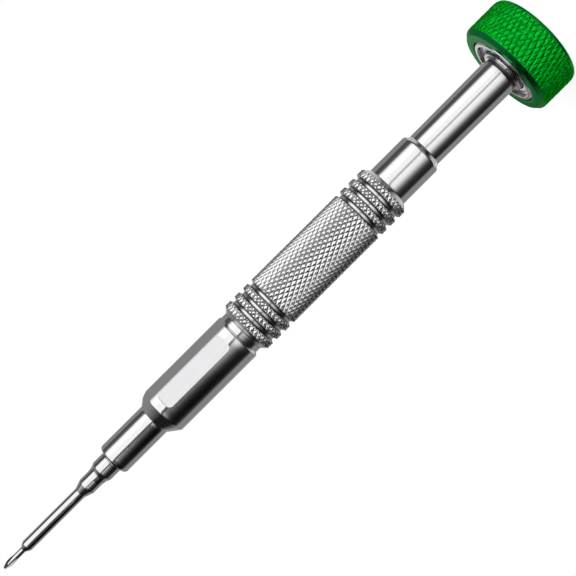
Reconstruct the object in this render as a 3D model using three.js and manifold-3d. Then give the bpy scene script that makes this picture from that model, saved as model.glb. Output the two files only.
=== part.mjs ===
// Precision screwdriver with a free-turning palm cap on a ball bearing.
//
// The tool stands on the flat end of its cap. The origin is the centre of that end face, +Z runs along the
// tool's axis from the cap to the tip, and the label panel faces about -Y. Sizes are in millimetres.

import * as THREE from 'three';
import { mergeVertices } from 'three/addons/utils/BufferGeometryUtils.js';
import Module from 'manifold-3d';

const wasm = await Module();
wasm.setup();

// Ball bearing, a shielded 7 x 14 x 5 size
const BEARING_BORE = 7;
const RACE_WALL = 0.69; // each race, behind the bottom of its groove
const RACE_CHAMFER = 0.2;
const LAND_OFFSET = 0.7; // from the ball circle to the shoulder beside each groove
const FACE_WIDTH = 0.78; // the outer race's ring face
const BALL_DIAMETER = 2;
const BALL_COUNT = 9;
const BALL_PLAY = 0.06;
const GROOVE_CONFORMITY = 1.04; // groove radius over ball radius
const CAGE_THICKNESS = 0.8;
const CAGE_BASE = 0.33;
const CAGE_PRONG = 0.35; // how far the prongs reach past the balls' centres
const POCKET_PLAY = 0.12;
const CAGE_GAP = 0.25; // from the cage to each shield
const SHIELD_THICKNESS = 0.25;
const SHIELD_GAP = 0.2; // from the shield's edge to the inner race
const SHIELD_SEAT_DEPTH = 0.25;
const LIP_WIDTH = 0.2;
const SNAP_RING_THICKNESS = 0.3;
const SNAP_RING_WIDTH = 0.4;
const SNAP_RING_OPENING = 24; // degrees
const SNAP_RING_PLAY = 0.05;

// Swivel cap
const CAP_WALL = 2.97; // around the bearing
const CAP_END_WALL = 1.6;
const CAP_END_ROUND = 0.7;
const CAP_MOUTH_CHAMFER = 0.5;
const CAP_POCKET_CHAMFER = 0.25;
const CAP_LEDGE = 0.9; // seat under the outer race
const BEARING_PROUD = 0.1; // the bearing stands out of the cap by this

// Screw, washer and spacer that clamp the inner race on the spindle
const SCREW_DIAMETER = 3;
const SCREW_LENGTH = 7;
const SCREW_HEAD_HEIGHT = 1.3;
const SCREW_HEAD_RIM = 1.25; // from the shank out to the head's edge
const SCREW_HEAD_GAP = 0.35; // from the head to the cap's end wall
const SCREW_HOLE_SPARE = 1;
const SOCKET_ACROSS_FLATS = 2;
const SOCKET_DEPTH = 0.8;
const SOCKET_SIDES = 6;
const WASHER_THICKNESS = 0.5;
const WASHER_INSET = 0.35; // inside the inner race's shoulder
const SPACER_THICKNESS = 0.35;
const SPACER_INSET = 0.5;

// Rear spindle: journal, tapered rod and collar
const RELIEF_LENGTH = 0.2;
const RELIEF_DEPTH = 0.2;
const ROD_SHOULDER = 0.25; // the rod's end over the journal
const ROD_CHAMFER = 0.4;
const ROD_LENGTH = 20.1;
const ROD_TAPER = 0.15; // radius lost from the bearing to the collar
const COLLAR_DIAMETER = 8.7;
const COLLAR_LENGTH = 8.65;
const COLLAR_CHAMFER_LENGTH = 0.9;

// Grip barrel: a knurled middle between two sets of three knurled rings
const GRIP_DIAMETER = 11.1;
const GRIP_LENGTH = 22;
const RING_DIAMETER = 11.05;
const RINGS_PER_END = 3;
const RING_WIDTH = 1.3;
const OUTER_RING_WIDTH = 1.5;
const GROOVE_DIAMETER = 9.8;
const GROOVE_WIDTH = 0.9;
const GROOVE_SLOPE = 0.25; // how far each groove wall leans out of square
const BARREL_END_CHAMFER = 0.8;
const BARREL_END_DEPTH = 1; // radius lost over that chamfer

// Stubs that screw into the barrel's two ends
const STUB_DIAMETER = 6;
const REAR_STUB_LENGTH = 14;
const FRONT_STUB_LENGTH = 14;
const STUB_CHAMFER = 0.5;

// Front sleeve: neck, label section, cone and nose
const NECK_DIAMETER = 9;
const NECK_LENGTH = 1.15;
const FRONT_DIAMETER = 10;
const FRONT_LENGTH = 19.2;
const FRONT_CHAMFER = 0.45;
const CONE_LENGTH = 2.3;
const NOSE_LENGTH = 10.7;
const NOSE_WALL = 1.27; // around the blade's shank
const NOSE_EDGE_ROUND = 0.55;
const ROLL_FLAT_DEPTH = 0.95;
const ROLL_FLAT_ANGLE = 72; // degrees from -Y towards +X
const LABEL_ANGLE = 12;
const LABEL_LENGTH = 15.8;
const LABEL_WIDTH = 3.5;
const LABEL_DEPTH = 0.32;
const LABEL_CORNER = 1;
const LABEL_SETBACK = 1.8; // from the front section's rear chamfer to the panel

// Blade: shank, collar, stepped shaft and cross tip
const SHANK_DIAMETER = 4;
const SHANK_LENGTH = 18;
const SHANK_CHAMFER = 0.3;
const BORE_SPARE = 0.3; // left below the shank's end
const COLLAR_STEP = 0.25; // the blade's collar over its shank
const COLLAR_GAP = 0.25; // from the nose to the collar
const BLADE_COLLAR_LENGTH = 2.6;
const FLARE_LENGTH = 1.85;
const STEP_DIAMETER = 3.5;
const STEP_LENGTH = 2.1;
const STEP_CONE_LENGTH = 1.75;
const SHAFT_DIAMETER = 2.3;
const SHAFT_LENGTH = 13.8;
const SHAFT_CONE_LENGTH = 0.85;
const TIP_NECK_DIAMETER = 1.15;
const TIP_NECK_LENGTH = 2.25;
const WING_DIAMETER = 1.3;
const WING_LENGTH = 1;
const WING_BACK_LENGTH = 0.5;
const POINT_LENGTH = 1.2;
const POINT_DIAMETER = 0.5;
const FLUTE_LENGTH = 3;
const FLUTE_CORE = 0.16; // from the axis to the flute's bottom at the point
const FLUTE_OPENING = 92; // degrees
const FLUTE_COUNT = 4;

// Shared fit and the fineness of round shapes
const FIT_CLEARANCE = 0.03;
const CUT_MARGIN = 1;
const TURN_STEPS = 36;
const EDGE_STEPS = 3;
const GROOVE_STEPS = 6;
const FLARE_STEPS = 4;
const POCKET_STEPS = 16;
const BALL_DETAIL = 2; // times each face of the ball's icosahedron is split
const WELD_TOLERANCE = 1e-4;

// Radii and heights that several pieces share
const boreRadius = BEARING_BORE / 2;
const ballRadius = BALL_DIAMETER / 2;
const ballCircle = boreRadius + RACE_WALL + BALL_PLAY + ballRadius;
const bearingRadius = ballCircle + ballRadius + BALL_PLAY + RACE_WALL;
const grooveRadius = ballRadius * GROOVE_CONFORMITY;
const innerLand = ballCircle - LAND_OFFSET;
const outerLand = ballCircle + LAND_OFFSET;
const lipRadius = bearingRadius - FACE_WIDTH;
const shieldSeatRadius = lipRadius + SHIELD_SEAT_DEPTH;
const pocketRadius = ballRadius + POCKET_PLAY;
const shieldSeatHeight = pocketRadius + CAGE_BASE + CAGE_GAP;
const lipHeight = shieldSeatHeight + SHIELD_THICKNESS + SNAP_RING_PLAY + SNAP_RING_THICKNESS;
const bearingHalf = lipHeight + LIP_WIDTH;
const journalRadius = boreRadius - FIT_CLEARANCE;
const rodRadius = boreRadius + ROD_SHOULDER;
const stubRadius = STUB_DIAMETER / 2;
const shankRadius = SHANK_DIAMETER / 2;
const bladeBoreRadius = shankRadius + FIT_CLEARANCE;
const screwHoleRadius = SCREW_DIAMETER / 2 + FIT_CLEARANCE;

const washerHeight = CAP_END_WALL + SCREW_HEAD_GAP + SCREW_HEAD_HEIGHT;
const bearingRear = washerHeight + WASHER_THICKNESS;
const bearingMiddle = bearingRear + bearingHalf;
const bearingFront = bearingMiddle + bearingHalf;
const capHeight = bearingFront - BEARING_PROUD;
const rodStart = bearingFront + SPACER_THICKNESS;
const collarStart = rodStart + ROD_LENGTH;
const barrelStart = collarStart + COLLAR_CHAMFER_LENGTH + COLLAR_LENGTH;
const ringSet = OUTER_RING_WIDTH + (RINGS_PER_END - 1) * RING_WIDTH + RINGS_PER_END * GROOVE_WIDTH;
const barrelLength = GRIP_LENGTH + 2 * (ringSet + BARREL_END_CHAMFER);
const sleeveStart = barrelStart + barrelLength;
const frontStart = NECK_LENGTH;
const frontEnd = frontStart + FRONT_CHAMFER + FRONT_LENGTH;
const noseStart = frontEnd + CONE_LENGTH;
const noseEnd = noseStart + NOSE_LENGTH;
const bladeStart = sleeveStart + noseEnd;

// Welds shared vertices and drops the triangles that collapse on the axis.
function weld(geometry) {
  geometry.deleteAttribute('normal');
  geometry.deleteAttribute('uv');
  const welded = mergeVertices(geometry, WELD_TOLERANCE);
  const index = welded.getIndex().array;
  const kept = [];
  for (let i = 0; i < index.length; i += 3) {
    const corners = [index[i], index[i + 1], index[i + 2]];
    if (new Set(corners).size === 3) {
      kept.push(...corners);
    }
  }
  welded.setIndex(kept);
  return welded;
}

function toSolid(geometry) {
  const welded = weld(geometry);
  return new wasm.Manifold(new wasm.Mesh({
    numProp: 3,
    vertProperties: new Float32Array(welded.getAttribute('position').array),
    triVerts: new Uint32Array(welded.getIndex().array),
  }));
}

function toGeometry(solid) {
  const mesh = solid.getMesh();
  const geometry = new THREE.BufferGeometry();
  geometry.setAttribute('position', new THREE.BufferAttribute(mesh.vertProperties, mesh.numProp));
  geometry.setIndex(new THREE.BufferAttribute(mesh.triVerts, 1));
  return geometry;
}

// Takes each cutter out of a geometry.
function cut(geometry, cutters) {
  let solid = toSolid(geometry);
  for (const cutter of cutters) {
    solid = solid.subtract(toSolid(cutter));
  }
  return toGeometry(solid);
}

// Turns an outline of [radius, height] points about Z.
function turned(outline) {
  const points = outline.map(([radius, height]) => new THREE.Vector2(radius, height));
  return new THREE.LatheGeometry(points, TURN_STEPS).rotateX(Math.PI / 2);
}

// Turns an outline that closes on itself.
function turnedRing(outline) {
  return turned([...outline, outline[0]]);
}

// Points along an elliptical arc in the outline plane; 0 degrees points away from the axis, 90 up.
function arc(radius, height, acrossSize, alongSize, from, to, steps) {
  return Array.from({ length: steps + 1 }, (_, i) => {
    const angle = THREE.MathUtils.degToRad(from + ((to - from) * i) / steps);
    return [radius + acrossSize * Math.cos(angle), height + alongSize * Math.sin(angle)];
  });
}

function makePart(name, geometry, finish, height = 0) {
  const mesh = new THREE.Mesh(weld(geometry), new THREE.MeshStandardMaterial(finish));
  mesh.name = name;
  mesh.position.z = height;
  return mesh;
}

const polishedSteel = { color: 0xc4c6c8, roughness: 0.2, metalness: 1 };
const knurledSteel = { color: 0xb4b6b8, roughness: 0.32, metalness: 1 };
const toolSteel = { color: 0xb0b2b6, roughness: 0.25, metalness: 1 };
const bearingSteel = { color: 0xcdcfd1, roughness: 0.12, metalness: 1 };
const darkScrewSteel = { color: 0x3a3b3d, roughness: 0.45, metalness: 1 };
const greenAnodised = { color: 0x0a9628, roughness: 0.38, metalness: 0.6 };

function makeGripBarrel() {
  const ringRadius = RING_DIAMETER / 2;
  const grooveFloor = GROOVE_DIAMETER / 2;
  const bore = stubRadius + FIT_CLEARANCE;
  const endFace = ringRadius - BARREL_END_DEPTH;
  const rings = [];
  for (let i = 0; i < RINGS_PER_END; i += 1) {
    const width = i === 0 ? OUTER_RING_WIDTH : RING_WIDTH;
    rings.push([width, ringRadius]);
  }
  const bands = [...rings, [GRIP_LENGTH, GRIP_DIAMETER / 2], ...rings.toReversed()];
  const outline = [[bore, 0], [endFace, 0]];
  let height = BARREL_END_CHAMFER;
  for (const [i, [width, radius]] of bands.entries()) {
    if (i > 0) {
      outline.push([grooveFloor, height - GROOVE_WIDTH + GROOVE_SLOPE], [grooveFloor, height - GROOVE_SLOPE]);
    }
    outline.push([radius, height], [radius, height + width]);
    height += width + GROOVE_WIDTH;
  }
  outline.push([endFace, barrelLength], [bore, barrelLength]);
  return makePart('grip_barrel', turnedRing(outline), knurledSteel, barrelStart);
}

function makeRearSpindle() {
  const journalEnd = -SPACER_THICKNESS - 2 * bearingHalf + FIT_CLEARANCE;
  const holeEnd = journalEnd + SCREW_LENGTH + SCREW_HOLE_SPARE;
  const reliefRadius = journalRadius - RELIEF_DEPTH;
  const collarRadius = COLLAR_DIAMETER / 2;
  const shoulder = ROD_LENGTH + COLLAR_CHAMFER_LENGTH + COLLAR_LENGTH;
  const outline = [
    [0, holeEnd],
    [screwHoleRadius, holeEnd],
    [screwHoleRadius, journalEnd],
    [journalRadius - RACE_CHAMFER, journalEnd],
    [journalRadius, journalEnd + RACE_CHAMFER],
    [journalRadius, 0],
    [reliefRadius, 0],
    [reliefRadius, RELIEF_LENGTH],
    [rodRadius, RELIEF_LENGTH + ROD_CHAMFER],
    [rodRadius - ROD_TAPER, ROD_LENGTH],
    [collarRadius, ROD_LENGTH + COLLAR_CHAMFER_LENGTH],
    [collarRadius, shoulder],
    [stubRadius, shoulder],
    [stubRadius, shoulder + REAR_STUB_LENGTH - STUB_CHAMFER],
    [stubRadius - STUB_CHAMFER, shoulder + REAR_STUB_LENGTH],
    [0, shoulder + REAR_STUB_LENGTH],
  ];
  return makePart('rear_spindle', turned(outline), polishedSteel, rodStart);
}

// Stands a cutter that faces -Y at an angle around the axis, from -Y towards +X.
function aroundAxis(geometry, degrees) {
  return geometry.rotateZ(THREE.MathUtils.degToRad(degrees));
}

// Everything beyond a plane beside the axis, over the front section and its cone
function makeRollFlatCutter() {
  const distance = FRONT_DIAMETER / 2 - ROLL_FLAT_DEPTH;
  const depth = ROLL_FLAT_DEPTH + CUT_MARGIN;
  const length = noseStart - frontStart;
  const block = new THREE.BoxGeometry(FRONT_DIAMETER + CUT_MARGIN, depth, length);
  block.translate(0, -distance - depth / 2, frontStart + length / 2);
  return aroundAxis(block, ROLL_FLAT_ANGLE);
}

// Rounded panel sunk into the front section
function makeLabelCutter() {
  const halfWidth = LABEL_WIDTH / 2;
  const corner = Math.min(LABEL_CORNER, halfWidth);
  const panel = new THREE.Shape();
  panel.moveTo(corner - halfWidth, 0);
  panel.absarc(halfWidth - corner, corner, corner, -Math.PI / 2, 0);
  panel.absarc(halfWidth - corner, LABEL_LENGTH - corner, corner, 0, Math.PI / 2);
  panel.absarc(corner - halfWidth, LABEL_LENGTH - corner, corner, Math.PI / 2, Math.PI);
  panel.absarc(corner - halfWidth, corner, corner, Math.PI, 1.5 * Math.PI);
  const depth = LABEL_DEPTH + CUT_MARGIN;
  const block = new THREE.ExtrudeGeometry(panel, { depth, bevelEnabled: false, curveSegments: EDGE_STEPS });
  block.rotateX(Math.PI / 2);
  block.translate(0, LABEL_DEPTH - FRONT_DIAMETER / 2, frontStart + FRONT_CHAMFER + LABEL_SETBACK);
  return aroundAxis(block, LABEL_ANGLE);
}

function makeFrontSleeve() {
  const neckRadius = NECK_DIAMETER / 2;
  const frontRadius = FRONT_DIAMETER / 2;
  const noseRadius = bladeBoreRadius + NOSE_WALL;
  const round = NOSE_EDGE_ROUND;
  const boreEnd = noseEnd - SHANK_LENGTH - BORE_SPARE;
  const outline = [
    [0, -FRONT_STUB_LENGTH],
    [stubRadius - STUB_CHAMFER, -FRONT_STUB_LENGTH],
    [stubRadius, STUB_CHAMFER - FRONT_STUB_LENGTH],
    [stubRadius, 0],
    [neckRadius, 0],
    [neckRadius, frontStart],
    [frontRadius, frontStart + FRONT_CHAMFER],
    [frontRadius, frontEnd],
    [noseRadius, noseStart],
    ...arc(noseRadius - round, noseEnd - round, round, round, 0, 90, EDGE_STEPS),
    [bladeBoreRadius, noseEnd],
    [bladeBoreRadius, boreEnd],
    [0, boreEnd],
  ];
  const body = cut(turned(outline), [makeRollFlatCutter(), makeLabelCutter()]);
  return makePart('front_sleeve', body, polishedSteel, sleeveStart);
}

// One V-shaped flute whose bottom climbs away from the axis down the tip
function makeFluteCutter(tipEnd, degrees) {
  const wingRadius = WING_DIAMETER / 2;
  const reach = WING_DIAMETER;
  const spread = reach * Math.tan(THREE.MathUtils.degToRad(FLUTE_OPENING / 2));
  const wedge = new THREE.Shape([
    new THREE.Vector2(0, 0),
    new THREE.Vector2(-spread, -reach),
    new THREE.Vector2(spread, -reach),
  ]);
  const depth = FLUTE_LENGTH + CUT_MARGIN;
  const cutter = new THREE.ExtrudeGeometry(wedge, { depth, bevelEnabled: false });
  cutter.translate(0, 0, -FLUTE_LENGTH);
  cutter.rotateX(-Math.atan2(wingRadius - FLUTE_CORE, FLUTE_LENGTH));
  cutter.translate(0, -FLUTE_CORE, tipEnd);
  return aroundAxis(cutter, degrees);
}

function makeBlade() {
  const collarRadius = shankRadius + COLLAR_STEP;
  const stepRadius = STEP_DIAMETER / 2;
  const shaftRadius = SHAFT_DIAMETER / 2;
  const neckRadius = TIP_NECK_DIAMETER / 2;
  const wingRadius = WING_DIAMETER / 2;
  const flareStart = COLLAR_GAP + BLADE_COLLAR_LENGTH;
  const flareEnd = flareStart + FLARE_LENGTH;
  const stepEnd = flareEnd + STEP_LENGTH;
  const shaftStart = stepEnd + STEP_CONE_LENGTH;
  const shaftEnd = shaftStart + SHAFT_LENGTH;
  const neckStart = shaftEnd + SHAFT_CONE_LENGTH;
  const neckEnd = neckStart + TIP_NECK_LENGTH;
  const wingStart = neckEnd + WING_BACK_LENGTH;
  const wingEnd = wingStart + WING_LENGTH;
  const tipEnd = wingEnd + POINT_LENGTH;
  const outline = [
    [0, -SHANK_LENGTH],
    [shankRadius - SHANK_CHAMFER, -SHANK_LENGTH],
    [shankRadius, SHANK_CHAMFER - SHANK_LENGTH],
    [shankRadius, COLLAR_GAP],
    [collarRadius, COLLAR_GAP],
    ...arc(collarRadius, flareEnd, collarRadius - stepRadius, FLARE_LENGTH, 270, 180, FLARE_STEPS),
    [stepRadius, stepEnd],
    [shaftRadius, shaftStart],
    [shaftRadius, shaftEnd],
    [neckRadius, neckStart],
    [neckRadius, neckEnd],
    [wingRadius, wingStart],
    [wingRadius, wingEnd],
    [POINT_DIAMETER / 2, tipEnd],
    [0, tipEnd],
  ];
  const flutes = [];
  for (let i = 0; i < FLUTE_COUNT; i += 1) {
    flutes.push(makeFluteCutter(tipEnd, (360 / FLUTE_COUNT) * (i + 0.5)));
  }
  return makePart('blade', cut(turned(outline), flutes), toolSteel, bladeStart);
}

function makeSwivelCap() {
  const pocket = bearingRadius + FIT_CLEARANCE;
  const radius = pocket + CAP_WALL;
  const cavity = bearingRadius - CAP_LEDGE;
  const round = CAP_END_ROUND;
  const outline = [
    [0, 0],
    ...arc(radius - round, round, round, round, -90, 0, EDGE_STEPS),
    [radius, capHeight - CAP_MOUTH_CHAMFER],
    [radius - CAP_MOUTH_CHAMFER, capHeight],
    [pocket + CAP_POCKET_CHAMFER, capHeight],
    [pocket, capHeight - CAP_POCKET_CHAMFER],
    [pocket, bearingRear],
    [cavity, bearingRear],
    [cavity, CAP_END_WALL],
    [0, CAP_END_WALL],
  ];
  return makePart('swivel_cap', turned(outline), greenAnodised);
}

function makeRetainingScrew() {
  const radius = SCREW_DIAMETER / 2;
  const headRadius = radius + SCREW_HEAD_RIM;
  const outline = [
    [0, -SCREW_HEAD_HEIGHT],
    [headRadius, -SCREW_HEAD_HEIGHT],
    [headRadius, 0],
    [radius, 0],
    [radius, SCREW_LENGTH],
    [0, SCREW_LENGTH],
  ];
  const socketRadius = SOCKET_ACROSS_FLATS / (2 * Math.cos(Math.PI / SOCKET_SIDES));
  const socketLength = SOCKET_DEPTH + CUT_MARGIN;
  const socket = new THREE.CylinderGeometry(socketRadius, socketRadius, socketLength, SOCKET_SIDES);
  socket.rotateX(Math.PI / 2);
  socket.translate(0, 0, SOCKET_DEPTH - SCREW_HEAD_HEIGHT - socketLength / 2);
  return makePart('retaining_screw', cut(turned(outline), [socket]), darkScrewSteel, washerHeight);
}

// A flat ring that sits square on the axis
function makeFlatRing(name, inner, outer, thickness, finish, height) {
  const outline = [[inner, 0], [outer, 0], [outer, thickness], [inner, thickness]];
  return makePart(name, turnedRing(outline), finish, height);
}

function makeOuterRace() {
  const grooveCentre = ballCircle + ballRadius + BALL_PLAY - grooveRadius;
  const grooveReach = THREE.MathUtils.radToDeg(Math.acos((outerLand - grooveCentre) / grooveRadius));
  const side = [
    [bearingRadius, bearingHalf - RACE_CHAMFER],
    [bearingRadius - RACE_CHAMFER, bearingHalf],
    [lipRadius, bearingHalf],
    [lipRadius, lipHeight],
    [shieldSeatRadius, lipHeight],
    [shieldSeatRadius, shieldSeatHeight],
    [outerLand, shieldSeatHeight],
  ];
  const outline = [
    ...side,
    ...arc(grooveCentre, 0, grooveRadius, grooveRadius, grooveReach, -grooveReach, GROOVE_STEPS),
    ...side.map(([radius, height]) => [radius, -height]).reverse(),
  ];
  return makePart('bearing_outer_race', turnedRing(outline), bearingSteel);
}

function makeInnerRace() {
  const grooveCentre = ballCircle - ballRadius - BALL_PLAY + grooveRadius;
  const grooveReach = THREE.MathUtils.radToDeg(Math.acos((grooveCentre - innerLand) / grooveRadius));
  const side = [
    [innerLand, bearingHalf],
    [boreRadius + RACE_CHAMFER, bearingHalf],
    [boreRadius, bearingHalf - RACE_CHAMFER],
  ];
  const outline = [
    ...arc(grooveCentre, 0, -grooveRadius, grooveRadius, -grooveReach, grooveReach, GROOVE_STEPS),
    ...side,
    ...side.map(([radius, height]) => [radius, -height]).reverse(),
  ];
  return makePart('bearing_inner_race', turnedRing(outline), bearingSteel);
}

function makeBall(number) {
  const sphere = new THREE.IcosahedronGeometry(ballRadius, BALL_DETAIL);
  const ball = makePart(`bearing_ball_${number}`, sphere, bearingSteel);
  const angle = (2 * Math.PI * (number - 1)) / BALL_COUNT;
  ball.position.set(ballCircle * Math.cos(angle), ballCircle * Math.sin(angle), 0);
  return ball;
}

// Crown cage: a ring below the balls with a prong between each two
function makeBallCage() {
  const inner = ballCircle - CAGE_THICKNESS / 2;
  const outer = ballCircle + CAGE_THICKNESS / 2;
  const base = -pocketRadius - CAGE_BASE;
  const ring = turnedRing([[inner, base], [outer, base], [outer, CAGE_PRONG], [inner, CAGE_PRONG]]);
  const pocketLength = CAGE_THICKNESS + CUT_MARGIN;
  const pockets = [];
  for (let i = 0; i < BALL_COUNT; i += 1) {
    const pocket = new THREE.CylinderGeometry(pocketRadius, pocketRadius, pocketLength, POCKET_STEPS);
    pocket.translate(0, -ballCircle, 0);
    pockets.push(aroundAxis(pocket, 90 + (360 * i) / BALL_COUNT));
  }
  return makePart('ball_cage', cut(ring, pockets), toolSteel);
}

function makeShield(name, height) {
  const inner = innerLand + SHIELD_GAP;
  const outer = shieldSeatRadius - FIT_CLEARANCE;
  return makeFlatRing(name, inner, outer, SHIELD_THICKNESS, polishedSteel, height);
}

// Open spring ring that keeps a shield on its seat
function makeSnapRing(name, height) {
  const outer = shieldSeatRadius - SNAP_RING_PLAY;
  const inner = outer - SNAP_RING_WIDTH;
  const start = THREE.MathUtils.degToRad(SNAP_RING_OPENING / 2);
  const end = 2 * Math.PI - start;
  const ring = new THREE.Shape();
  ring.absarc(0, 0, outer, start, end, false);
  ring.absarc(0, 0, inner, end, start, true);
  const options = { depth: SNAP_RING_THICKNESS, bevelEnabled: false, curveSegments: TURN_STEPS };
  return makePart(name, new THREE.ExtrudeGeometry(ring, options), toolSteel, height);
}

const handle = new THREE.Group();
handle.add(
  makeBlade(),
  makeFrontSleeve(),
  makeGripBarrel(),
  makeRearSpindle(),
  makeFlatRing(
    'bearing_spacer', boreRadius, innerLand - SPACER_INSET, SPACER_THICKNESS, toolSteel, bearingFront,
  ),
  makeFlatRing(
    'retaining_washer', screwHoleRadius, innerLand - WASHER_INSET, WASHER_THICKNESS, toolSteel, washerHeight,
  ),
  makeRetainingScrew(),
);

const shieldTop = shieldSeatHeight + SHIELD_THICKNESS;
const bearing = new THREE.Group();
bearing.position.z = bearingMiddle;
bearing.add(
  makeInnerRace(),
  makeOuterRace(),
  makeBallCage(),
  makeShield('front_shield', shieldSeatHeight),
  makeShield('rear_shield', -shieldTop),
  makeSnapRing('front_snap_ring', shieldTop + SNAP_RING_PLAY),
  makeSnapRing('rear_snap_ring', -lipHeight),
);
for (let number = 1; number <= BALL_COUNT; number += 1) {
  bearing.add(makeBall(number));
}

const screwdriver = new THREE.Group();
screwdriver.add(handle, bearing, makeSwivelCap());

export default screwdriver;
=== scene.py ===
import math

import bmesh
import bpy
from mathutils import Matrix, Vector, noise


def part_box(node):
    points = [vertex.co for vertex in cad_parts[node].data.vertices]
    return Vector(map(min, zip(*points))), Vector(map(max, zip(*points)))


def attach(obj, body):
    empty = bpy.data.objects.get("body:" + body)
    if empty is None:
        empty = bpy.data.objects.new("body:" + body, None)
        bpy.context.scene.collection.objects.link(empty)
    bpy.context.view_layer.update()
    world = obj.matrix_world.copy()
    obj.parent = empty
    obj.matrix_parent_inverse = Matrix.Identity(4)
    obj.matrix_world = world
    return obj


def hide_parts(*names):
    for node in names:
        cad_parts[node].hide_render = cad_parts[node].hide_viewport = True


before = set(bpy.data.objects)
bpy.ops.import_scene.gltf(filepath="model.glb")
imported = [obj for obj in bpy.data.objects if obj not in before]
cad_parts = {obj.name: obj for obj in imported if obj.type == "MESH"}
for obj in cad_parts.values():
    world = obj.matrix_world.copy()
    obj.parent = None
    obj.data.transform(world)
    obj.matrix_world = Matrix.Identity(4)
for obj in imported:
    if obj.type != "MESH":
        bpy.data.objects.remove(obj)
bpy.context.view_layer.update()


# The blade is one bar of tool steel, turned to a slim stepped shaft and polished. Four flutes ground into
# its end leave the wings of the cross tip; the floor and one side of each flute carry painted shade, a
# near-black steel, and the other side is bright.
# Its round shank is pressed into the front sleeve's nose.
mm = 0.001
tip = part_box("blade")[1].z / mm
shank_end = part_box("blade")[0].z / mm
wing_radius = 0.65
neck_radius = 0.575
flute_count = 4
flute_spacing = 2 * math.pi / flute_count
flute_length = 3.4
flute_core = 0.18
flute_floor_half = 0.09
flute_half_angle = math.radians(45)
flute_reach = 0.66
flute_overrun = 0.2
flute_steps = 16
# The first finish, on each flute's floor and one side, is painted shade.
flute_finishes = [1, 1, 0, 2]  # the dark floor and side, the outside of the cut, the bright side
wing_turn = math.radians(8)
blade_turn_steps = 96
blade_cuts = 8
corner_steps = 5
long_run = 1
weld_distance = 0.0005
sharp_edge = math.radians(24)

blade_outline = [
    (0, shank_end, 0),
    (1.7, shank_end, 0),
    (2.0, shank_end + 0.3, 0),
    (2.0, tip - 27.9, 0),
    (2.25, tip - 27.9, 0.12),
    (2.25, tip - 25.3, 0.06),
    (1.9, tip - 24.55, 0.3),
    (1.75, tip - 23.5, 0.2),
    (1.75, tip - 21.35, 0.06),
    (1.15, tip - 19.6, 0.15),
    (1.15, tip - 5.8, 0.3),
    (neck_radius, tip - 4.95, 0.3),
    (neck_radius, tip - 2.7, 0.2),
    (wing_radius, tip - 2.2, 0.2),
    (wing_radius, tip - 1.2, 0.06),
    (0.25, tip, 0.04),
    (0, tip, 0),
]


def turn(outline, steps, closed=False, cuts=0):
    """A new bmesh, in millimetres: an outline of (radius, height, corner round) turned about the axis.

    Cuts across the long straight runs keep the shading of a rounded corner close to it.
    """
    bm = bmesh.new()
    points = []
    rounded = {}
    for radius, height, corner in outline:
        point = bm.verts.new((radius, 0, height))
        points.append(point)
        if corner:
            rounded.setdefault(corner, []).append(point)
    following = points[1:] + points[:1] if closed else points[1:]
    for start, end in zip(points, following):
        bm.edges.new((start, end))
    for corner, corner_points in rounded.items():
        bmesh.ops.bevel(
            bm, geom=corner_points, offset=corner, offset_type="OFFSET", affect="VERTICES",
            segments=corner_steps, profile=0.5, material=-1,
        )
    if cuts:
        long_edges = [e for e in bm.edges if e.calc_length() > long_run]
        bmesh.ops.bisect_edges(bm, edges=long_edges, cuts=cuts)
    bmesh.ops.spin(
        bm, geom=bm.verts[:] + bm.edges[:], cent=(0, 0, 0), axis=(0, 0, 1), angle=2 * math.pi,
        steps=steps, use_merge=True,
    )
    bmesh.ops.remove_doubles(bm, verts=bm.verts, dist=weld_distance)
    bmesh.ops.recalc_face_normals(bm, faces=bm.faces)
    return bm


def make_piece(name, bm, *finishes):
    """Turns a bmesh in millimetres into an object in metres, with smooth faces and crisp machined edges."""
    bmesh.ops.scale(bm, vec=(mm, mm, mm), verts=bm.verts)
    mesh = bpy.data.meshes.new(name)
    bm.to_mesh(mesh)
    bm.free()
    for finish in finishes:
        mesh.materials.append(finish)
    mesh.shade_smooth()
    mesh.set_sharp_from_angle(angle=sharp_edge)
    piece = bpy.data.objects.new(name, mesh)
    bpy.context.collection.objects.link(piece)
    return piece


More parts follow.
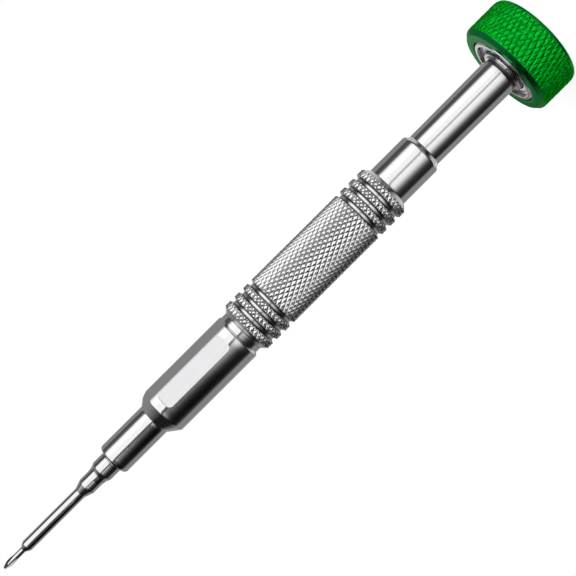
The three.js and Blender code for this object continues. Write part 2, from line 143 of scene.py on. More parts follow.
def turned_steel(name, colour, roughness, grain_depth, grain_counts=(160, 160, 7000)):
    """Polished steel with the fine rings that a lathe tool leaves, and faint smears from handling.

    The grain's depth is in millimetres, and its counts along the three axes are per metre.
    """
    grain_shade = 0.9
    smear_count = 170
    smear_blur = 0.12

    finish = bpy.data.materials.new(name)
    finish.use_nodes = True
    nodes = finish.node_tree.nodes
    link = finish.node_tree.links.new
    shader = nodes["Principled BSDF"]
    shader.inputs["Metallic"].default_value = 1

    place = nodes.new("ShaderNodeTexCoord")
    rings = nodes.new("ShaderNodeMapping")
    rings.inputs["Scale"].default_value = grain_counts
    link(place.outputs["Object"], rings.inputs["Vector"])
    grain = nodes.new("ShaderNodeTexNoise")
    grain.inputs["Scale"].default_value = 1
    grain.inputs["Detail"].default_value = 4
    link(rings.outputs["Vector"], grain.inputs["Vector"])
    smears = nodes.new("ShaderNodeTexNoise")
    smears.inputs["Scale"].default_value = smear_count
    smears.inputs["Detail"].default_value = 3
    link(place.outputs["Object"], smears.inputs["Vector"])

    tone = nodes.new("ShaderNodeValToRGB")
    tone.color_ramp.elements[0].position = 0.25
    tone.color_ramp.elements[0].color = (*[grain_shade * c for c in colour], 1)
    tone.color_ramp.elements[1].position = 0.75
    tone.color_ramp.elements[1].color = (*colour, 1)
    link(grain.outputs["Fac"], tone.inputs["Fac"])
    link(tone.outputs["Color"], shader.inputs["Base Color"])

    blur = nodes.new("ShaderNodeMath")
    blur.operation = "MULTIPLY_ADD"
    blur.inputs[1].default_value = smear_blur
    blur.inputs[2].default_value = roughness - smear_blur / 2
    link(smears.outputs["Fac"], blur.inputs[0])
    link(blur.outputs["Value"], shader.inputs["Roughness"])

    relief = nodes.new("ShaderNodeBump")
    relief.inputs["Strength"].default_value = 1
    relief.inputs["Distance"].default_value = grain_depth * mm
    link(grain.outputs["Fac"], relief.inputs["Height"])
    link(relief.outputs["Normal"], shader.inputs["Normal"])
    return finish


def mill_out(piece, cutter_mesh, *finishes):
    """Cuts the shape of a bmesh out of a piece for good and gives the cut faces the cutter's finishes."""
    cutter = make_piece("milling_cutter", cutter_mesh, *finishes)
    milling = piece.modifiers.new("milling", "BOOLEAN")
    milling.object = cutter
    milling.operation = "DIFFERENCE"
    milling.solver = "EXACT"
    milling.material_mode = "TRANSFER"
    bpy.context.view_layer.objects.active = piece
    bpy.ops.object.modifier_apply(modifier=milling.name)
    piece.data.set_sharp_from_angle(angle=sharp_edge)
    bpy.data.objects.remove(cutter)


blade_steel = turned_steel("blade_steel", (0.64, 0.64, 0.65), roughness=0.1, grain_depth=0.0015)
# Painted shade: a near-black steel for the flutes' floors and one side of each, where shade falls in the
# cut.
flute_painted_shade = turned_steel("flute_painted_shade", (0.02, 0.02, 0.02), roughness=0.34, grain_depth=0.002)
wing_steel = turned_steel("wing_steel", (0.46, 0.46, 0.46), roughness=0.3, grain_depth=0.002)

blade_mesh = turn(blade_outline, blade_turn_steps, cuts=blade_cuts)
blade = make_piece("cross_tip_blade", blade_mesh, blade_steel)

flute_mesh = bmesh.new()
for flute in range(flute_count):
    sections = []
    for step in range(flute_steps + 1):
        from_end = flute_length * step / flute_steps - flute_overrun
        core = flute_core + (wing_radius - flute_core) * (max(0, from_end) / flute_length) ** 2
        across = flute_floor_half + flute_reach * math.sin(flute_half_angle)
        outward = core + flute_reach * math.cos(flute_half_angle)
        corners = [
            (core, -flute_floor_half),
            (core, flute_floor_half),
            (outward, across),
            (outward, -across),
        ]
        sections.append([flute_mesh.verts.new((x, y, tip - from_end)) for x, y in corners])
    for near, far in zip(sections, sections[1:]):
        for side, finish_number in enumerate(flute_finishes):
            other = (side + 1) % len(flute_finishes)
            flank = flute_mesh.faces.new((near[side], near[other], far[other], far[side]))
            flank.material_index = finish_number
    flute_mesh.faces.new(sections[0])
    flute_mesh.faces.new(sections[-1])
    cut_points = [point for section in sections for point in section]
    flute_angle = wing_turn + flute_spacing / 2 + flute * flute_spacing
    flute_turn = Matrix.Rotation(flute_angle, 3, "Z")
    bmesh.ops.rotate(flute_mesh, matrix=flute_turn, verts=cut_points)
bmesh.ops.recalc_face_normals(flute_mesh, faces=flute_mesh.faces)
mill_out(blade, flute_mesh, blade_steel, flute_painted_shade, wing_steel)
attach(blade, "handle")
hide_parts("blade")


# The front sleeve is turned from steel bar and polished: a neck, a stout front section, a cone and a round
# nose. One long flat keeps it from rolling, and a shallow panel, brushed lengthwise, is milled beside it.
# Its hidden stub screws into the barrel.
sleeve_stub = 14
sleeve_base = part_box("front_sleeve")[0].z / mm + sleeve_stub
neck_end = sleeve_base + 1.15
nose_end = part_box("front_sleeve")[1].z / mm
shank_hole_end = nose_end - 18.3
shank_hole_radius = 2.03
flat_distance = 4.05
flat_angle = math.radians(72)
flat_margin = 0.02
cut_tolerance = 0.0001
panel_angle = math.radians(12)
panel_floor = 4.68
panel_width = 3.5
panel_length = 15.8
panel_start = neck_end + 2.25
panel_corner = 1.0
panel_corner_steps = 8
panel_cutter_height = 1
panel_brushing = (7000, 7000, 150)
turn_steps = 128
sleeve_cuts = 12

sleeve_outline = [
    (0, sleeve_base - sleeve_stub, 0),
    (2.5, sleeve_base - sleeve_stub, 0),
    (3.0, sleeve_base - sleeve_stub + 0.5, 0),
    (3.0, sleeve_base, 0),
    (4.5, sleeve_base, 0.08),
    (4.5, neck_end - flat_margin, 0),
    (4.5, neck_end, 0),
    (5.0, neck_end + 0.45, 0.15),
    (5.0, nose_end - 13.0, 0.2),
    (3.3, nose_end - 10.7, 0.12),
    (3.3, nose_end, 0.55),
    (shank_hole_radius, nose_end, 0.05),
    (shank_hole_radius, shank_hole_end, 0),
    (0, shank_hole_end, 0),
]

sleeve_steel = turned_steel("sleeve_steel", (0.68, 0.68, 0.69), roughness=0.14, grain_depth=0.002)
panel_steel = turned_steel("panel_steel", (0.66, 0.66, 0.67), 0.3, 0.002, panel_brushing)

sleeve_mesh = turn(sleeve_outline, turn_steps, cuts=sleeve_cuts)
flat_normal = Vector((math.sin(flat_angle), -math.cos(flat_angle), 0))
front_faces = [f for f in sleeve_mesh.faces if f.calc_center_median().z > neck_end - flat_margin]
front_set = set(front_faces)
front_edges = [e for e in sleeve_mesh.edges if not front_set.isdisjoint(e.link_faces)]
front_points = [v for v in sleeve_mesh.verts if not front_set.isdisjoint(v.link_faces)]
bmesh.ops.bisect_plane(
    sleeve_mesh, geom=[*front_points, *front_edges, *front_faces], dist=cut_tolerance,
    plane_co=flat_normal * flat_distance, plane_no=flat_normal,
)
for point in sleeve_mesh.verts:
    beyond = point.co.dot(flat_normal) - flat_distance
    if beyond > 0 and point.co.z > neck_end - flat_margin / 2:
        point.co -= flat_normal * beyond
sleeve = make_piece("front_sleeve_turned", sleeve_mesh, sleeve_steel)

panel_mesh = bmesh.new()
bmesh.ops.create_grid(panel_mesh, x_segments=1, y_segments=1, size=0.5)
bmesh.ops.scale(panel_mesh, vec=(panel_width, panel_length, 1), verts=panel_mesh.verts)
bmesh.ops.bevel(
    panel_mesh, geom=panel_mesh.verts[:], offset=panel_corner, offset_type="OFFSET", affect="VERTICES",
    segments=panel_corner_steps, profile=0.5, material=-1,
)
raised = bmesh.ops.extrude_face_region(panel_mesh, geom=panel_mesh.faces[:])
raised_points = [g for g in raised["geom"] if isinstance(g, bmesh.types.BMVert)]
bmesh.ops.translate(panel_mesh, vec=(0, 0, panel_cutter_height), verts=raised_points)
panel_place = (0, panel_start + panel_length / 2, panel_floor)
bmesh.ops.translate(panel_mesh, vec=panel_place, verts=panel_mesh.verts)
panel_turn = Matrix.Rotation(panel_angle, 3, "Z") @ Matrix.Rotation(math.pi / 2, 3, "X")
bmesh.ops.rotate(panel_mesh, matrix=panel_turn, verts=panel_mesh.verts)
bmesh.ops.recalc_face_normals(panel_mesh, faces=panel_mesh.faces)
mill_out(sleeve, panel_mesh, panel_steel)
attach(sleeve, "handle")
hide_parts("front_sleeve")


# The grip barrel is a steel tube with a rolled diamond knurl on its middle and on three rings at each end.
# The grooves between the bands are turned after the knurl, so their walls cut through the diamonds.
barrel_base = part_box("grip_barrel")[0].z / mm
barrel_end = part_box("grip_barrel")[1].z / mm
barrel_bore = 3.03
barrel_face = 4.525
end_cone = 0.8
grip_radius = 5.55
groove_radius = 4.9
band_starts = [end_cone, 3.2, 5.4, 7.6, 30.5, 32.7, 34.9]
band_widths = [1.5, 1.3, 1.3, 22.0, 1.3, 1.3, 1.5]
band_overlap = 0.1
band_skirt = 0.25
knurl_flanks = [(0.1, 0.1), (0.25, 0.1)]  # the width and rise of each step up a diamond's side
knurl_depth = sum(rise for width, rise in knurl_flanks)
knurl_root = grip_radius - knurl_depth
knurl_starts = 36
knurl_row = 1.74
knurl_wander = 0.03
wander_scale = 3
wander_seed = 1
knurl_painted_shade = 0.4

barrel_outline = [
    (barrel_bore, barrel_base, 0),
    (barrel_face, barrel_base, 0.08),
    (knurl_root, barrel_base + end_cone, 0),
    (groove_radius, barrel_base + end_cone, 0),
    (groove_radius, barrel_end - end_cone, 0),
    (knurl_root, barrel_end - end_cone, 0),
    (barrel_face, barrel_end, 0.08),
    (barrel_bore, barrel_end, 0),
]


def outward_faces(bm, root):
    """The faces of a knurled band that lie at its root and look out from the axis."""
    chosen = []
    for face in bm.faces:
        from_axis = math.hypot(*face.calc_center_median().xy)
        if from_axis > root - 0.1 and abs(face.normal.z) < 0.3:
            chosen.append(face)
    return chosen


def knurled_band(start, end, inside, skirt, root, starts, rows, flanks, wander):
    """A ring with diamonds raised on its outside: a plain band is poked, and each diamond inset and lifted.

    Wander moves the diamonds' corners about a little, apart from those on the band's two edges.
    """
    foot = inside + 0.1
    edge_margin = 0.01
    outline = [(inside, start, 0), (foot, start - skirt, 0)]
    for row in range(rows + 1):
        outline.append((root, start + (end - start) * row / rows, 0))
    outline.extend([(foot, end + skirt, 0), (inside, end, 0)])
    bm = turn(outline, starts, closed=True)
    plain = outward_faces(bm, root)
    plain_set = set(plain)
    straight = [e for e in bm.edges if e.link_faces and plain_set.issuperset(e.link_faces)]
    poked = bmesh.ops.poke(bm, faces=plain)
    for point in poked["verts"]:
        point.co.xy *= root / point.co.xy.length
    bmesh.ops.dissolve_edges(bm, edges=straight)
    diamonds = outward_faces(bm, root)
    for point in {v for f in diamonds for v in f.verts}:
        if start + edge_margin < point.co.z < end - edge_margin:
            point.co += wander * noise.noise_vector(point.co * wander_scale)
            point.co.xy *= root / point.co.xy.length
    for width, rise in flanks:
        bmesh.ops.inset_individual(bm, faces=diamonds, thickness=width, depth=rise, use_even_offset=True)
    return bm


def add_mesh(bm, other, finish_number):
    """Adds a second bmesh to the first one, with one of its finishes."""
    for face in other.faces:
        face.material_index = finish_number
    carrier = bpy.data.meshes.new("carrier")
    other.to_mesh(carrier)
    other.free()
    bm.from_mesh(carrier)
    bpy.data.meshes.remove(carrier)


def paint_groove_shade(finish, root, top, painted_root_shade):
    """Painted shade in a knurl's grooves, darker from their top to their root by distance from the axis."""
    nodes = finish.node_tree.nodes
    link = finish.node_tree.links.new
    base_colour = nodes["Principled BSDF"].inputs["Base Color"]
    place = nodes.new("ShaderNodeTexCoord")
    across = nodes.new("ShaderNodeVectorMath")
    across.operation = "MULTIPLY"
    across.inputs[1].default_value = (1, 1, 0)
    link(place.outputs["Object"], across.inputs[0])
    distance = nodes.new("ShaderNodeVectorMath")
    distance.operation = "LENGTH"
    link(across.outputs["Vector"], distance.inputs[0])
    height = nodes.new("ShaderNodeMapRange")
    height.inputs["From Min"].default_value = root * mm
    height.inputs["From Max"].default_value = top * mm
    height.inputs["To Min"].default_value = painted_root_shade
    link(distance.outputs["Value"], height.inputs["Value"])
    shaded = nodes.new("ShaderNodeMix")
    shaded.data_type = "RGBA"
    shaded.blend_type = "MULTIPLY"
    shaded.inputs["Factor"].default_value = 1
    link(base_colour.links[0].from_socket, shaded.inputs["A"])
    link(height.outputs["Result"], shaded.inputs["B"])
    link(shaded.outputs["Result"], base_colour)


groove_steel = turned_steel("groove_steel", (0.62, 0.62, 0.63), roughness=0.2, grain_depth=0.002)
knurl_steel = turned_steel("knurl_steel", (0.92, 0.92, 0.93), roughness=0.22, grain_depth=0.002)
# Painted shade darkens the grip's knurl from the top of its grooves down to their root.
paint_groove_shade(knurl_steel, knurl_root, grip_radius - knurl_flanks[1][1], knurl_painted_shade)

noise.seed_set(wander_seed)
barrel_mesh = turn(barrel_outline, turn_steps, closed=True)
for band_start, band_width in zip(band_starts, band_widths):
    band_low = barrel_base + band_start
    band_rows = max(1, round(band_width / knurl_row))
    band = knurled_band(
        start=band_low, end=band_low + band_width, inside=groove_radius - band_overlap, skirt=band_skirt,
        root=knurl_root, starts=knurl_starts, rows=band_rows, flanks=knurl_flanks, wander=knurl_wander,
    )
    add_mesh(barrel_mesh, band, 1)

barrel = make_piece("knurled_grip_barrel", barrel_mesh, groove_steel, knurl_steel)
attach(barrel, "handle")
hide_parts("grip_barrel")


# The rear spindle is turned steel: a collar against the barrel, a long rod that widens a little towards the
# cap, and a ground journal that carries the bearing. Its hidden stub screws into the barrel.
spindle_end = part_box("rear_spindle")[1].z / mm
journal_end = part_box("rear_spindle")[0].z / mm
rod_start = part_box("bearing_spacer")[1].z / mm
tapped_end = journal_end + 8
relief_width = 0.55
spindle_cuts = 12

spindle_outline = [
    (0, tapped_end, 0),
    (1.53, tapped_end, 0),
    (1.53, journal_end, 0),
    (3.27, journal_end, 0),
    (3.47, journal_end + 0.2, 0),
    (3.47, rod_start, 0),
    (3.27, rod_start, 0),
    (3.27, rod_start + 0.2, 0.05),
    (3.75, rod_start + 0.6, 0.1),
    (3.6, barrel_base - 9.55, 0.1),
    (4.35, barrel_base - 8.65, 0.2),
    (4.35, barrel_base, 0.08),
    (3.0, barrel_base, 0),
    (3.0, spindle_end - 0.5, 0),
    (2.5, spindle_end, 0),
    (0, spindle_end, 0),
]

spindle_steel = turned_steel("spindle_steel", (0.68, 0.68, 0.69), roughness=0.13, grain_depth=0.002)
# Painted shade: a dark grey steel on the relief beside the rod's end, where the gap to the bearing lies in
# shade.
relief_painted_shade = turned_steel("relief_painted_shade", (0.22, 0.22, 0.22), roughness=0.5, grain_depth=0.003)

spindle_mesh = turn(spindle_outline, turn_steps, cuts=spindle_cuts)
# The relief's faces get the painted shade.
for face in spindle_mesh.faces:
    if rod_start < face.calc_center_median().z < rod_start + relief_width:
        face.material_index = 1
spindle = make_piece("rear_spindle_turned", spindle_mesh, spindle_steel, relief_painted_shade)
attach(spindle, "handle")
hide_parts("rear_spindle")


# The ball bearing is a standard shielded one of hardened, ground steel: two races, nine balls in a pressed
# crown cage, and a thin shield on each side that an open spring ring keeps in the outer race.
bearing_low, bearing_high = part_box("bearing_outer_race")
bearing_middle = (bearing_low.z + bearing_high.z) / 2 / mm
bearing_half = (bearing_high.z - bearing_low.z) / 2 / mm
outer_radius = bearing_high.x / mm
outer_land = 5.95
outer_groove_centre = 5.27
inner_land = 4.55
inner_groove_centre = 5.23
bore_radius = 3.5
groove_round = 1.04
groove_steps = 12
ball_circle = 5.25
ball_radius = 1.0
ball_count = 9
shield_seat = 1.7
shield_thickness = 0.25
shield_dish = 0.12
snap_ring_wire = (0.4, 0.3, 1)
snap_ring_radius = 6.22
snap_ring_height = 2.15
snap_ring_opening = math.radians(24)
snap_ring_steps = 120


def groove_arc(centre, side, land):
    """Points down a ball groove, from its upper shoulder to its lower one; side is 1 outside, -1 inside."""
    reach = math.acos(abs(land - centre) / groove_round)
    points = []
    for step in range(groove_steps + 1):
        angle = reach - 2 * reach * step / groove_steps
        radius = centre + side * groove_round * math.cos(angle)
        points.append((radius, bearing_middle + groove_round * math.sin(angle), 0))
    return points


def both_sides(outline):
    """An upper outline about the bearing's middle, and its mirror image below it, in turning order."""
    above = [(radius, bearing_middle + height, corner) for radius, height, corner in outline]
    below = [(radius, bearing_middle - height, corner) for radius, height, corner in outline]
    return above, below[::-1]


race_steel = turned_steel("race_steel", (0.72, 0.72, 0.73), roughness=0.14, grain_depth=0.0008)

outer_above, outer_below = both_sides([
    (outer_radius, bearing_half, 0.2),
    (6.22, bearing_half, 0.05),
    (6.22, 2.3, 0),
    (6.47, 2.3, 0),
    (6.47, shield_seat, 0),
    (outer_land, shield_seat, 0),
])
outer_groove = groove_arc(outer_groove_centre, 1, outer_land)
outer_race_mesh = turn(outer_above + outer_groove + outer_below, turn_steps, closed=True)
outer_race = make_piece("outer_race_ground", outer_race_mesh, race_steel)
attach(outer_race, "cap")
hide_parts("bearing_outer_race")

inner_above, inner_below = both_sides([
    (bore_radius, bearing_half, 0.2),
    (inner_land, bearing_half, 0.08),
])
inner_groove = groove_arc(inner_groove_centre, -1, inner_land)
inner_race_mesh = turn(inner_above + inner_groove + inner_below, turn_steps, closed=True)
inner_race = make_piece("inner_race_ground", inner_race_mesh, race_steel)
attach(inner_race, "handle")
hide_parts("bearing_inner_race")

for number in range(1, ball_count + 1):
    angle = 2 * math.pi * (number - 1) / ball_count
    ball_mesh = bmesh.new()
    bmesh.ops.create_uvsphere(ball_mesh, u_segments=32, v_segments=20, radius=ball_radius)
    ball_place = (ball_circle * math.cos(angle), ball_circle * math.sin(angle), bearing_middle)
    bmesh.ops.translate(ball_mesh, vec=ball_place, verts=ball_mesh.verts)
    ball = make_piece(f"ball_{number}", ball_mesh, race_steel)
    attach(ball, "ball_train")
    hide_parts(f"bearing_ball_{number}")

cage_steel = turned_steel("cage_steel", (0.5, 0.5, 0.51), roughness=0.32, grain_depth=0.003)
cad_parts["ball_cage"].data.materials.clear()
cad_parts["ball_cage"].data.materials.append(cage_steel)

shield_steel = turned_steel("shield_steel", (0.7, 0.7, 0.71), roughness=0.12, grain_depth=0.0008)
for side, name in ((1, "front_shield"), (-1, "rear_shield")):
    shield_outline = [
        (4.75, bearing_middle + side * shield_seat, 0),
        (6.44, bearing_middle + side * shield_seat, 0),
        (6.44, bearing_middle + side * (shield_seat + shield_thickness), 0.05),
        (6.05, bearing_middle + side * (shield_seat + shield_thickness), 0.1),
        (5.7, bearing_middle + side * (shield_seat + shield_dish), 0.1),
        (4.75, bearing_middle + side * (shield_seat + shield_dish), 0.03),
    ]
    shield_mesh = turn(shield_outline, turn_steps, closed=True)
    shield = make_piece(name + "_pressed", shield_mesh, shield_steel)
    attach(shield, "cap")
    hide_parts(name)

for side, name in ((1, "front_snap_ring"), (-1, "rear_snap_ring")):
    wire_mesh = bmesh.new()
    bmesh.ops.create_grid(wire_mesh, x_segments=1, y_segments=1, size=0.5)
    bmesh.ops.scale(wire_mesh, vec=snap_ring_wire, verts=wire_mesh.verts)
    bmesh.ops.rotate(wire_mesh, matrix=Matrix.Rotation(math.pi / 2, 3, "X"), verts=wire_mesh.verts)
    wire_place = (snap_ring_radius, 0, bearing_middle + side * snap_ring_height)
    bmesh.ops.translate(wire_mesh, vec=wire_place, verts=wire_mesh.verts)
    half_opening = Matrix.Rotation(snap_ring_opening / 2, 3, "Z")
    bmesh.ops.rotate(wire_mesh, matrix=half_opening, verts=wire_mesh.verts)
    bmesh.ops.spin(
        wire_mesh, geom=wire_mesh.faces[:], cent=(0, 0, 0), axis=(0, 0, 1),
        angle=2 * math.pi - snap_ring_opening, steps=snap_ring_steps,
    )
    bmesh.ops.recalc_face_normals(wire_mesh, faces=wire_mesh.faces)
    snap_ring = make_piece(name + "_spring", wire_mesh, cage_steel)
    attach(snap_ring, "cap")
    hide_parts(name)


# A thin spacer, a washer and a blackened socket screw clamp the inner race on the spindle's end. All three
# are turned steel. Only the spacer's edge shows, as a fine ring around the rod.
spacer_low, spacer_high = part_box("bearing_spacer")
spacer_radius = spacer_high.x / mm

spacer_outline = [
    (bore_radius, spacer_low.z / mm, 0),
    (spacer_radius, spacer_low.z / mm, 0),
    (spacer_radius, spacer_high.z / mm, 0.08),
    (bore_radius, spacer_high.z / mm, 0),
]
spacer_mesh = turn(spacer_outline, turn_steps, closed=True)
spacer = make_piece("spacer_ring", spacer_mesh, race_steel)
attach(spacer, "handle")
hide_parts("bearing_spacer")

black_screw_steel = turned_steel(
    "black_screw_steel", (0.06, 0.06, 0.065), roughness=0.42, grain_depth=0.003,
)
for name in ("retaining_washer", "retaining_screw"):
    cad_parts[name].data.materials.clear()
    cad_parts[name].data.materials.append(black_screw_steel)


# The swivel cap is turned from aluminium bar, given a steep knurl that leaves a torn grain on its diamonds,
# then blasted and anodised green. The bearing's outer race is pressed into its mouth, so the cap turns
# freely under the palm.
cap_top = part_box("swivel_cap")[1].z / mm
cap_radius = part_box("swivel_cap")[1].x / mm
cap_end_wall = 1.6
cap_end_round = 0.6
mouth_radius = 7.3
rim_radius = 9.1
rim_bevel_height = 0.7
rim_gap = 0.05
seat_radius = 7.03
pocket_radius = 6.1
pocket_floor = bearing_low.z / mm
cap_knurl_flanks = [(0.04, 0.04), (0.32, 0.12)]
cap_knurl_depth = sum(rise for width, rise in cap_knurl_flanks)
cap_knurl_root = cap_radius - cap_knurl_depth
cap_knurl_starts = 56
cap_knurl_rows = 3
cap_knurl_wander = 0.25
cap_knurl_twist = 0.0145
cap_knurl_painted_shade = 0.8
cap_band_thickness = 1
blasted_pits = (0.2, 0.2, 0.2)
blasted_depth = 0.006
torn_grain = (0.32, 0.32, 0.85)
torn_depth = 0.2

cap_outline = [
    (0, 0, 0),
    (cap_knurl_root, 0, cap_end_round),
    (cap_knurl_root, cap_top - rim_bevel_height, 0),
    (rim_radius, cap_top, 0.1),
    (mouth_radius, cap_top, 0.03),
    (mouth_radius - 0.05, cap_top - 0.5, 0),
    (seat_radius, cap_top - 0.6, 0),
    (seat_radius, pocket_floor, 0),
    (pocket_radius, pocket_floor, 0),
    (pocket_radius, cap_end_wall, 0),
    (0, cap_end_wall, 0),
]


def green_anodised(name, colour, grazing, coat, pit_sizes, pit_depth):
    """Aluminium dyed green, with the matt sparkle of its pits under a clear oxide layer.

    The pits' sizes along the three axes and their depth are in millimetres.
    """
    pit_shade = 0.6
    smoothest = 0.26
    roughest = 0.44

    finish = bpy.data.materials.new(name)
    finish.use_nodes = True
    nodes = finish.node_tree.nodes
    link = finish.node_tree.links.new
    shader = nodes["Principled BSDF"]
    shader.inputs["Metallic"].default_value = 1
    shader.inputs["Specular Tint"].default_value = (*grazing, 1)
    shader.inputs["Coat Weight"].default_value = coat
    shader.inputs["Coat Roughness"].default_value = 0.1

    place = nodes.new("ShaderNodeTexCoord")
    counted = nodes.new("ShaderNodeVectorMath")
    counted.operation = "DIVIDE"
    counted.inputs[1].default_value = [size * mm for size in pit_sizes]
    link(place.outputs["Object"], counted.inputs[0])
    pits = nodes.new("ShaderNodeTexNoise")
    pits.inputs["Scale"].default_value = 1
    pits.inputs["Detail"].default_value = 3
    link(counted.outputs["Vector"], pits.inputs["Vector"])

    tone = nodes.new("ShaderNodeValToRGB")
    tone.color_ramp.elements[0].position = 0.3
    tone.color_ramp.elements[0].color = (*[pit_shade * c for c in colour], 1)
    tone.color_ramp.elements[1].position = 0.7
    tone.color_ramp.elements[1].color = (*colour, 1)
    link(pits.outputs["Fac"], tone.inputs["Fac"])
    link(tone.outputs["Color"], shader.inputs["Base Color"])

    blur = nodes.new("ShaderNodeMapRange")
    blur.inputs["To Min"].default_value = smoothest
    blur.inputs["To Max"].default_value = roughest
    link(pits.outputs["Fac"], blur.inputs["Value"])
    link(blur.outputs["Result"], shader.inputs["Roughness"])

    relief = nodes.new("ShaderNodeBump")
    relief.inputs["Strength"].default_value = 1
    relief.inputs["Distance"].default_value = pit_depth * mm
    link(pits.outputs["Fac"], relief.inputs["Height"])
    link(relief.outputs["Normal"], shader.inputs["Normal"])
    return finish


face_green = green_anodised(
    "face_green", colour=(0.001, 0.4, 0.09), grazing=(0.05, 0.6, 0.35), coat=0.27,
    pit_sizes=blasted_pits, pit_depth=blasted_depth,
)
# Painted shade: a near-black green for the cap's mouth groove and the pocket within it, which lie in shade.
mouth_painted_shade = green_anodised(
    "mouth_painted_shade", colour=(0.001, 0.012, 0.002), grazing=(0.002, 0.02, 0.004), coat=0,
    pit_sizes=blasted_pits, pit_depth=blasted_depth,
)
knurl_green = green_anodised(
    "knurl_green", colour=(0.004, 0.66, 0.04), grazing=(0.05, 0.6, 0.2), coat=0,
    pit_sizes=torn_grain, pit_depth=torn_depth,
)
# Painted shade darkens the cap's knurl from the top of its grooves down to their root.
paint_groove_shade(knurl_green, cap_knurl_root, cap_radius - cap_knurl_flanks[1][1], cap_knurl_painted_shade)

cap_mesh = turn(cap_outline, turn_steps)
cap_knurl = knurled_band(
    start=cap_end_round, end=cap_top - rim_bevel_height - rim_gap, inside=cap_radius - cap_band_thickness,
    skirt=0, root=cap_knurl_root, starts=cap_knurl_starts, rows=cap_knurl_rows, flanks=cap_knurl_flanks,
    wander=cap_knurl_wander,
)
for point in cap_knurl.verts:
    point.co.rotate(Matrix.Rotation(cap_knurl_twist * point.co.z, 3, "Z"))
# The faces inside the mouth, above the end wall, get the painted shade.
for face in cap_mesh.faces:
    middle = face.calc_center_median()
    if middle.z > cap_end_wall and math.hypot(*middle.xy) < mouth_radius:
        face.material_index = 2
add_mesh(cap_mesh, cap_knurl, 1)
cap = make_piece("swivel_cap_green", cap_mesh, face_green, knurl_green, mouth_painted_shade)
cap.visible_glossy = False  # the steel beside it shows no green
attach(cap, "cap")
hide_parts("swivel_cap")


# The studio is a white floor and a white room, whose bands of light and dark the polished metal shows. Two
# tall soft lights stand in front with a narrow gap between them; the right one dims with height, apart from
# a small light level with the blade's collars. Dark flags stand beside them; the back is bright low down.
floor_radius = 3
floor_drop = 0.00003
floor_glow = 0.82
room_brightest = 1.6
room_bands = [  # degrees round from the camera, and light level
    (-180, 0.2), (-170, 0.25), (-150, 0.45), (-140, 0.3), (-125, 0.3), (-112, 0.36), (-102, 0.3),
    (-95, 0.06), (-88, 0.02), (-72, 0.03), (-60, 0.06), (-48, 0.22), (-36, 0.7), (-24, 1.25), (-10, 1.4),
    (10, 1.5), (14, 1.4), (28, 1.4), (38, 1.6), (62, 1.6), (77, 0.12), (104, 0.08), (108, 0.34),
    (148, 0.3), (160, 0.45), (170, 0.75), (180, 0.75),
]
right_light_levels = [  # how steeply a ray rises, and light level
    (-0.05, 1), (0, 0.85), (0.06, 0.6), (0.085, 0.35), (0.11, 0.18), (0.15, 0.13), (0.19, 0.05),
    (0.215, 0.05), (0.218, 1), (0.25, 1), (0.256, 0.1), (0.34, 0.12), (0.5, 0.25),
]
right_light_start = (math.radians(-6), math.radians(-1))
right_light_end = (math.radians(-90), math.radians(-75))
right_light_rise = (-0.03, 0.05)
right_light_lean = math.radians(9)
gap_lean = math.radians(20)
gap_edge = (math.radians(3), math.radians(7))
gap_rise = (-0.06, 0.04)
gap_depths = (0.6, 0.92)
low_rise = (-0.5, -0.28)
low_front_to_back = (-0.1, 0.3)
low_changes = (-0.75, 1.2)
overhead_rise = (0.6, 0.8)
overhead_sides = (-0.1, 0.5)
overhead_levels = (0.01, 0.2)

floor_mesh = bmesh.new()
bmesh.ops.create_circle(floor_mesh, cap_ends=True, segments=96, radius=floor_radius)
bmesh.ops.translate(floor_mesh, vec=(0, 0, -floor_drop), verts=floor_mesh.verts)
floor_data = bpy.data.meshes.new("floor")
floor_mesh.to_mesh(floor_data)
floor_mesh.free()
floor = bpy.data.objects.new("floor", floor_data)
bpy.context.collection.objects.link(floor)
floor.visible_glossy = False

floor_white = bpy.data.materials.new("floor_white")
floor_white.use_nodes = True
floor_nodes = floor_white.node_tree.nodes
floor_link = floor_white.node_tree.links.new
floor_shader = floor_nodes["Principled BSDF"]
floor_shader.inputs["Base Color"].default_value = (0.8, 0.8, 0.8, 1)
floor_shader.inputs["Roughness"].default_value = 0.9
floor_shader.inputs["Specular IOR Level"].default_value = 0
floor_shader.inputs["Emission Color"].default_value = (1, 1, 1, 1)
floor_rays = floor_nodes.new("ShaderNodeLightPath")
floor_lift = floor_nodes.new("ShaderNodeMath")
floor_lift.operation = "MULTIPLY"
floor_lift.inputs[1].default_value = floor_glow
floor_link(floor_rays.outputs["Is Camera Ray"], floor_lift.inputs[0])
floor_link(floor_lift.outputs["Value"], floor_shader.inputs["Emission Strength"])
floor_data.materials.append(floor_white)

world = bpy.data.worlds.new("studio")
bpy.context.scene.world = world
world.use_nodes = True
room_nodes = world.node_tree.nodes
room_link = world.node_tree.links.new


def room_math(operation, first, second):
    """A Math node on two inputs, each a number or the output of another node."""
    node = room_nodes.new("ShaderNodeMath")
    node.operation = operation
    for socket, value in zip(node.inputs, (first, second)):
        if isinstance(value, (int, float)):
            socket.default_value = value
        else:
            room_link(value, socket)
    return node.outputs["Value"]


def room_range(value, ends, out_ends):
    """A Map Range node that takes one pair of ends to another, and stays there beyond them."""
    node = room_nodes.new("ShaderNodeMapRange")
    node.inputs["From Min"].default_value = ends[0]
    node.inputs["From Max"].default_value = ends[1]
    node.inputs["To Min"].default_value = out_ends[0]
    node.inputs["To Max"].default_value = out_ends[1]
    room_link(value, node.inputs["Value"])
    return node.outputs["Result"]


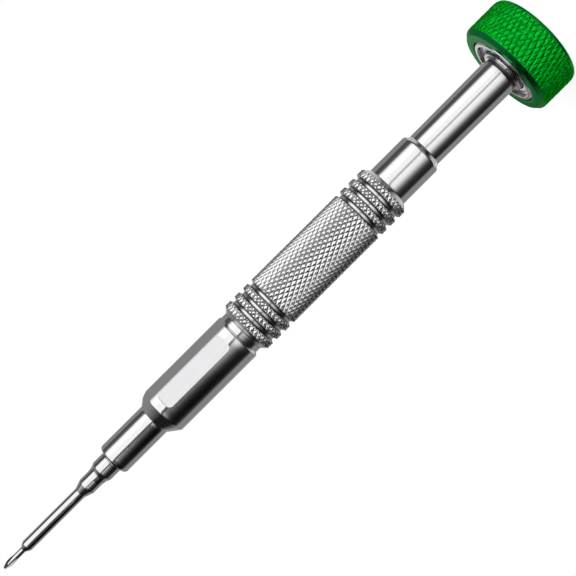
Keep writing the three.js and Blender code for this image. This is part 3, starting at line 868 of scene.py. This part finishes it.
def room_ramp(place, levels):
    """A Color Ramp node of grey levels, each at its place from 0 to 1."""
    node = room_nodes.new("ShaderNodeValToRGB")
    stops = node.color_ramp.elements
    while len(stops) < len(levels):
        stops.new(1)
    for stop, (position, level) in zip(stops, levels):
        stop.position = position
        stop.color = (level, level, level, 1)
    room_link(place, node.inputs["Fac"])
    return node.outputs["Color"]


room_place = room_nodes.new("ShaderNodeTexCoord")
room_parts = room_nodes.new("ShaderNodeSeparateXYZ")
room_link(room_place.outputs["Generated"], room_parts.inputs["Vector"])
sideways = room_parts.outputs["X"]
backwards = room_parts.outputs["Y"]
upwards = room_parts.outputs["Z"]
round_room = room_math("ARCTAN2", sideways, room_math("MULTIPLY", backwards, -1))

past_start = room_range(round_room, right_light_start, (1, 0))
before_end = room_range(round_room, right_light_end, (0, 1))
on_right = room_math("MULTIPLY", past_start, before_end)
right_turn = room_range(upwards, right_light_rise, (0, right_light_lean))
leaning_round = room_math("SUBTRACT", round_room, room_math("MULTIPLY", on_right, right_turn))
band_place = room_range(leaning_round, (-math.pi, math.pi), (0, 1))
band_levels = [((degrees + 180) / 360, level / room_brightest) for degrees, level in room_bands]
band_light = room_ramp(band_place, band_levels)

rise_place = room_range(upwards, (-0.5, 0.5), (0, 1))
rise_levels = [(steepness + 0.5, level) for steepness, level in right_light_levels]
right_light = room_nodes.new("ShaderNodeMix")
right_light.inputs["A"].default_value = 1
room_link(on_right, right_light.inputs["Factor"])
room_link(room_ramp(rise_place, rise_levels), right_light.inputs["B"])

leaning_gap = room_math("ADD", round_room, room_math("MULTIPLY", upwards, gap_lean))
in_gap = room_range(room_math("ABSOLUTE", leaning_gap, 0), gap_edge, (1, 0))
gap_depth = room_range(upwards, gap_rise, gap_depths)
gap_level = room_math("SUBTRACT", 1, room_math("MULTIPLY", in_gap, gap_depth))

low_down = room_range(upwards, low_rise, (1, 0))
low_change = room_range(backwards, low_front_to_back, low_changes)
low_level = room_math("ADD", 1, room_math("MULTIPLY", low_down, low_change))

right_and_gap = room_math("MULTIPLY", right_light.outputs["Result"], gap_level)
front_level = room_math("MULTIPLY", right_and_gap, low_level)
front_lights = room_nodes.new("ShaderNodeMix")
front_lights.data_type = "RGBA"
front_lights.blend_type = "MULTIPLY"
front_lights.inputs["Factor"].default_value = 1
room_link(band_light, front_lights.inputs["A"])
room_link(front_level, front_lights.inputs["B"])

overhead_light = room_range(sideways, overhead_sides, overhead_levels)
overhead = room_range(upwards, overhead_rise, (0, 1))
room_mix = room_nodes.new("ShaderNodeMix")
room_link(overhead, room_mix.inputs["Factor"])
room_link(front_lights.outputs["Result"], room_mix.inputs["A"])
room_link(overhead_light, room_mix.inputs["B"])

room_light = room_nodes["Background"]
room_light.inputs["Strength"].default_value = room_brightest
room_link(room_mix.outputs["Result"], room_light.inputs["Color"])
room_white = room_nodes.new("ShaderNodeBackground")
room_white.inputs["Color"].default_value = (1, 1, 1, 1)
room_rays = room_nodes.new("ShaderNodeLightPath")
room_choice = room_nodes.new("ShaderNodeMixShader")
room_link(room_rays.outputs["Is Camera Ray"], room_choice.inputs["Fac"])
room_link(room_light.outputs["Background"], room_choice.inputs[1])
room_link(room_white.outputs["Background"], room_choice.inputs[2])
room_link(room_choice.outputs["Shader"], room_nodes["World Output"].inputs["Surface"])

bpy.context.scene.view_settings.view_transform = "Standard"


# The camera looks square at the tool's side from -Y, rolled so that the tip points to the lower left. Its
# lens and distance give the photo's perspective.
image_size = 576
focal_pixels = 1134.2
camera_distance = 0.2086
camera_height = 0.06461
camera_aside = -0.00029
camera_roll = math.radians(-134.89)

camera_data = bpy.data.cameras.new("camera")
camera_data.sensor_width = 36
camera_data.lens = focal_pixels * camera_data.sensor_width / image_size
camera = bpy.data.objects.new("camera", camera_data)
bpy.context.collection.objects.link(camera)
bpy.context.scene.camera = camera
upright = Matrix.Rotation(math.pi / 2, 4, "X")
rolled = Matrix.Rotation(camera_roll, 4, "Z")
standing = Matrix.Translation((camera_aside, -camera_distance, camera_height))
camera.matrix_world = standing @ upright @ rolled
